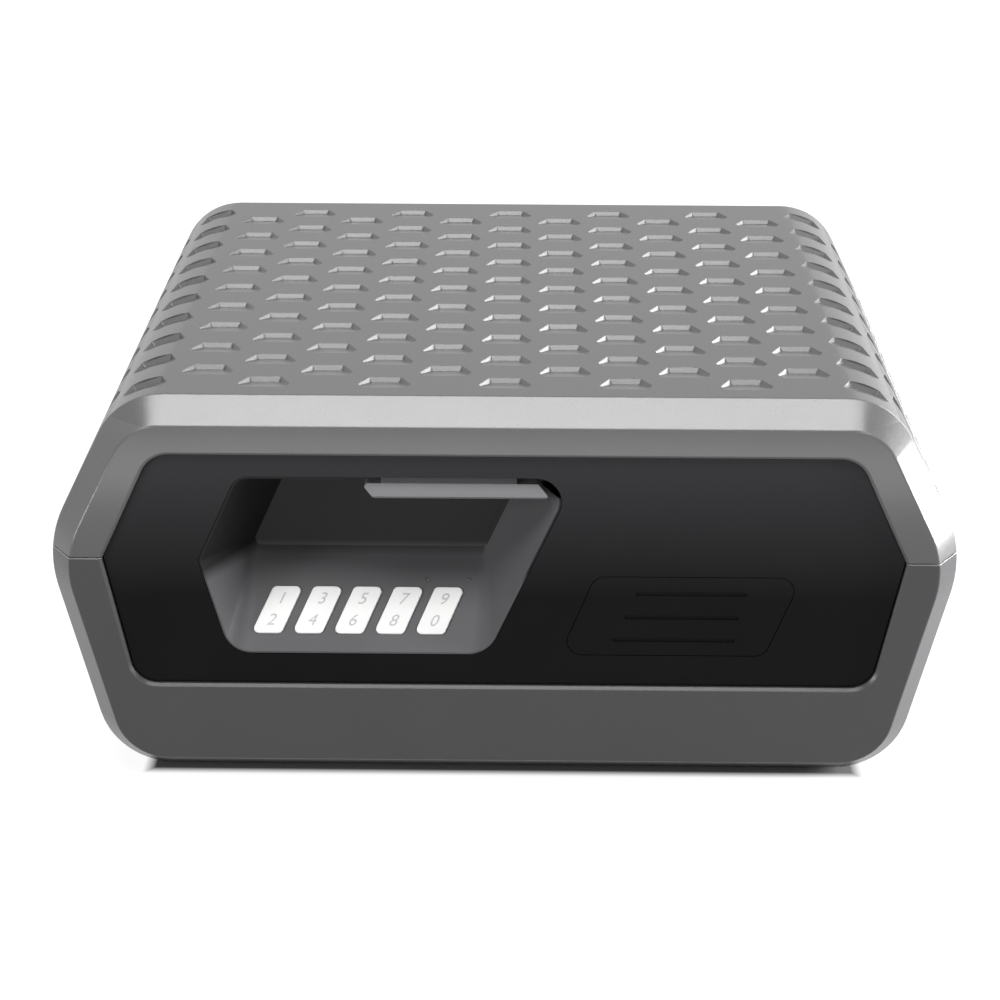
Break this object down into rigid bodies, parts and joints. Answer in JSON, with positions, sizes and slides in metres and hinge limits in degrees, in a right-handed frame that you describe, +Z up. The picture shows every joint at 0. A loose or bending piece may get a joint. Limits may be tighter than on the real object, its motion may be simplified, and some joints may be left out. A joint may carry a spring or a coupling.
{
  "type": "portable safe",
  "caption": "Low moulded fire chest with a rear-hinged patterned lid, front lock panel, keypad recess, release lever and battery cover.",
  "frame": {"origin": "middle of the bounding box at the surface that the chest stands on", "axes": "+X to the right as seen from the front, +Y to the rear, +Z up"},
  "size_m": [0.433, 0.371, 0.195],
  "materials": {
    "grey_plastic": "moulded, fine matte grain",
    "liner_plastic": "moulded, satin",
    "insulation": "cast, porous",
    "seal_rubber": "matte",
    "foot_rubber": "matte",
    "hinge_steel": "black coated sheet steel",
    "pin_steel": "ground",
    "rivet_steel": "satin",
    "panel_plastic": "satin black moulded plastic",
    "bowl_plastic": "moulded, satin",
    "housing_plastic": "moulded, matte",
    "screw_steel": "zinc plated",
    "mat_silicone": "translucent silicone",
    "board": "solder mask over laminate",
    "light_lens": "smoked lens",
    "bracket_steel": "zinc plated sheet",
    "solenoid_steel": "plated frame",
    "plunger_steel": "ground",
    "cell_wrap": "shrink wrap",
    "contact_steel": "nickel plated",
    "lever_plastic": "moulded, satin",
    "shaft_steel": "drawn bar",
    "hook_steel": "stamped plate",
    "spring_steel": "oiled spring wire",
    "key_plastic": "white moulded plastic",
    "key_print": "pad printed ink"
  },
  "bodies": {
    "base": {"base_shell": "grey_plastic", "base_liner": "liner_plastic", "base_insulation": "insulation", "feet": "foot_rubber", "latch_keepers": "bracket_steel", "keeper_screws": "screw_steel", "base_hinge_leaves": "hinge_steel", "hinge_pins": "pin_steel", "base_rivets": "rivet_steel"},
    "lid": {"lid_shell": "grey_plastic", "lid_liner": "liner_plastic", "lid_insulation": "insulation", "lid_seal": "seal_rubber", "lid_hinge_leaves": "hinge_steel", "lid_rivets": "rivet_steel", "front_panel": "panel_plastic", "keypad_bowl": "bowl_plastic", "lock_housing": "housing_plastic", "housing_screws": "screw_steel", "ear_screws": "screw_steel", "key_mat": "mat_silicone", "circuit_board": "board", "board_screws": "screw_steel", "indicator_lights": "light_lens", "shaft_brackets": "bracket_steel", "bracket_screws": "screw_steel", "solenoid_body": "solenoid_steel", "solenoid_screws": "screw_steel", "battery_tray": "housing_plastic", "battery_cells": "cell_wrap", "battery_contacts": "contact_steel"},
    "latch": {"release_lever": "lever_plastic", "latch_shaft": "shaft_steel", "latch_hooks": "hook_steel", "blocker_arm": "hook_steel", "lever_spring": "spring_steel"},
    "plunger": {"solenoid_plunger": "plunger_steel"},
    "battery_cover": {"battery_cover": "panel_plastic"},
    "key_1": {"key_1": "key_plastic"},
    "key_2": {"key_2": "key_plastic"},
    "key_3": {"key_3": "key_plastic"},
    "key_4": {"key_4": "key_plastic"},
    "key_5": {"key_5": "key_plastic"}
  },
  "joints": [
    {"name": "lid_hinge", "type": "hinge", "parent": "base", "child": "lid", "pos_m": [0, 0.182, 0.118], "axis": [-1, 0, 0], "range_deg": [0, 95]},
    {"name": "lever_turn", "type": "hinge", "parent": "lid", "child": "latch", "pos_m": [0, -0.1735, 0.161], "axis": [-1, 0, 0], "range_deg": [-4, 12], "stiffness_Nm_per_rad": 1.2},
    {"name": "plunger_slide", "type": "slide", "parent": "lid", "child": "plunger", "axis": [1, 0, 0], "range_m": [-0.0018, 0.0051]},
    {"name": "battery_cover_lift", "type": "slide", "parent": "lid", "child": "battery_cover", "axis": [0, -1, 0], "range_m": [0, 0.04]},
    {"name": "key_1_press", "type": "slide", "parent": "lid", "child": "key_1", "axis": [0, 0.7089, -0.7053], "range_m": [0, 0.0008], "stiffness_N_per_m": 900},
    {"name": "key_2_press", "type": "slide", "parent": "lid", "child": "key_2", "axis": [0, 0.7089, -0.7053], "range_m": [0, 0.0008], "stiffness_N_per_m": 900},
    {"name": "key_3_press", "type": "slide", "parent": "lid", "child": "key_3", "axis": [0, 0.7089, -0.7053], "range_m": [0, 0.0008], "stiffness_N_per_m": 900},
    {"name": "key_4_press", "type": "slide", "parent": "lid", "child": "key_4", "axis": [0, 0.7089, -0.7053], "range_m": [0, 0.0008], "stiffness_N_per_m": 900},
    {"name": "key_5_press", "type": "slide", "parent": "lid", "child": "key_5", "axis": [0, 0.7089, -0.7053], "range_m": [0, 0.0008], "stiffness_N_per_m": 900}
  ],
  "couplings": [
    {"joint": "plunger_slide", "follows": "lever_turn", "m_per_rad": 0.023873}
  ]
}
